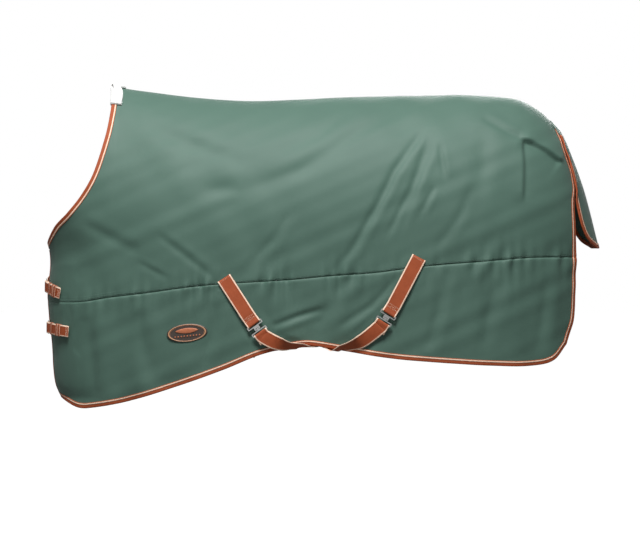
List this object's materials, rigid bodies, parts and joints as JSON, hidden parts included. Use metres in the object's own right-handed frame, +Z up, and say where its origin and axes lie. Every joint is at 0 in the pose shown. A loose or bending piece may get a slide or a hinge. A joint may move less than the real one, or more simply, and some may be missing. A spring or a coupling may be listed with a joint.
{
  "type": "turnout rug",
  "caption": "Horse turnout rug: green shell over a lining, copper webbing binding, cross surcingles with T-hook clips, chest buckles, tail flap and a fleece wither pad.",
  "frame": {"origin": "on the rug's middle plane, halfway along the topline, at the height of the horse's back", "axes": "+X from chest to tail, +Y towards the off side, +Z up"},
  "size_m": [1.9372, 0.7088, 1.1213],
  "materials": {
    "green_fabric": "satin",
    "lining_fabric": "matte",
    "copper_webbing": "satin",
    "fleece": "matte",
    "steel": "satin",
    "leather_patch": "satin"
  },
  "bodies": {
    "rug": {"chest_billet_lower": "copper_webbing", "chest_billet_upper": "copper_webbing", "chest_buckle_lower": "steel", "chest_buckle_upper": "steel", "chest_chape_lower": "copper_webbing", "chest_chape_upper": "copper_webbing", "edge_binding_left": "copper_webbing", "edge_binding_right": "copper_webbing", "lining": "lining_fabric", "neck_binding_left": "copper_webbing", "neck_binding_right": "copper_webbing", "oval_patch": "leather_patch", "ring_tab_left": "copper_webbing", "ring_tab_right": "copper_webbing", "shell_lower_left": "green_fabric", "shell_lower_right": "green_fabric", "shell_upper": "green_fabric", "surcingle_lower_front": "copper_webbing", "surcingle_lower_rear": "copper_webbing", "surcingle_upper_front": "copper_webbing", "surcingle_upper_rear": "copper_webbing", "wither_fleece_inner": "fleece", "wither_fleece_outer": "fleece"},
    "tail_flap": {"tail_flap": "green_fabric", "tail_flap_binding": "copper_webbing"},
    "eye_plate_front": {"eye_plate_front": "steel"},
    "eye_plate_rear": {"eye_plate_rear": "steel"},
    "t_hook_front": {"t_hook_front": "steel"},
    "t_hook_rear": {"t_hook_rear": "steel"},
    "surcingle_slide_front": {"surcingle_slide_front": "steel"},
    "surcingle_slide_rear": {"surcingle_slide_rear": "steel"},
    "chest_keeper_upper": {"chest_keeper_upper": "copper_webbing"},
    "chest_keeper_lower": {"chest_keeper_lower": "copper_webbing"},
    "chest_prong_upper": {"chest_prong_upper": "steel"},
    "chest_prong_lower": {"chest_prong_lower": "steel"},
    "leg_ring_left": {"leg_ring_left": "steel"},
    "leg_ring_right": {"leg_ring_right": "steel"}
  },
  "joints": [
    {"name": "tail_flap_lift", "type": "hinge", "parent": "rug", "child": "tail_flap", "pos_m": [0.806, 0, -0.08], "axis": [0, -1, 0], "range_deg": [0, 100]},
    {"name": "eye_plate_front_tilt", "type": "hinge", "parent": "rug", "child": "eye_plate_front", "pos_m": [-0.22323, -0.33302, -0.77969], "axis": [-0.8064, 0, -0.5914], "range_deg": [-6, 4]},
    {"name": "t_hook_front_tilt", "type": "hinge", "parent": "rug", "child": "t_hook_front", "pos_m": [-0.20077, -0.33459, -0.81031], "axis": [-0.8064, 0, -0.5914], "range_deg": [-4, 6]},
    {"name": "surcingle_front_adjust", "type": "slide", "parent": "rug", "child": "surcingle_slide_front", "axis": [0.468, 0.8763, -0.1146], "range_m": [-0.02, 0.02]},
    {"name": "eye_plate_rear_tilt", "type": "hinge", "parent": "rug", "child": "eye_plate_rear", "pos_m": [0.23224, -0.34466, -0.744], "axis": [-0.8423, 0, 0.5391], "range_deg": [-6, 4]},
    {"name": "t_hook_rear_tilt", "type": "hinge", "parent": "rug", "child": "t_hook_rear", "pos_m": [0.21176, -0.34442, -0.776], "axis": [-0.8423, 0, 0.5391], "range_deg": [-4, 6]},
    {"name": "surcingle_rear_adjust", "type": "slide", "parent": "rug", "child": "surcingle_slide_rear", "axis": [-0.4632, 0.8799, -0.1053], "range_m": [-0.02, 0.02]},
    {"name": "chest_keeper_upper_slip", "type": "slide", "parent": "rug", "child": "chest_keeper_upper", "axis": [-0.4206, 0.8815, 0.2149], "range_m": [-0.004, 0.004]},
    {"name": "chest_prong_upper_lift", "type": "hinge", "parent": "rug", "child": "chest_prong_upper", "pos_m": [-0.95239, -0.04176, -0.65758], "axis": [0.0294, -0.2128, 0.9766], "range_deg": [0, 20]},
    {"name": "chest_keeper_lower_slip", "type": "slide", "parent": "rug", "child": "chest_keeper_lower", "axis": [-0.4331, 0.8978, 0.0798], "range_m": [-0.004, 0.004]},
    {"name": "chest_prong_lower_lift", "type": "hinge", "parent": "rug", "child": "chest_prong_lower", "pos_m": [-0.94622, -0.04201, -0.80096], "axis": [0.011, -0.079, 0.9968], "range_deg": [0, 20]},
    {"name": "leg_ring_left_swing", "type": "hinge", "parent": "rug", "child": "leg_ring_left", "pos_m": [0.82177, -0.22023, -0.63995], "axis": [0.8628, 0.5055, 0.0049], "range_deg": [-4, 80]},
    {"name": "leg_ring_right_swing", "type": "hinge", "parent": "rug", "child": "leg_ring_right", "pos_m": [0.82177, 0.22023, -0.63995], "axis": [-0.8628, 0.5055, -0.0049], "range_deg": [-4, 80]}
  ],
  "couplings": [
    {"joint": "t_hook_front_tilt", "follows": "eye_plate_front_tilt", "ratio": -1},
    {"joint": "t_hook_rear_tilt", "follows": "eye_plate_rear_tilt", "ratio": -1}
  ]
}
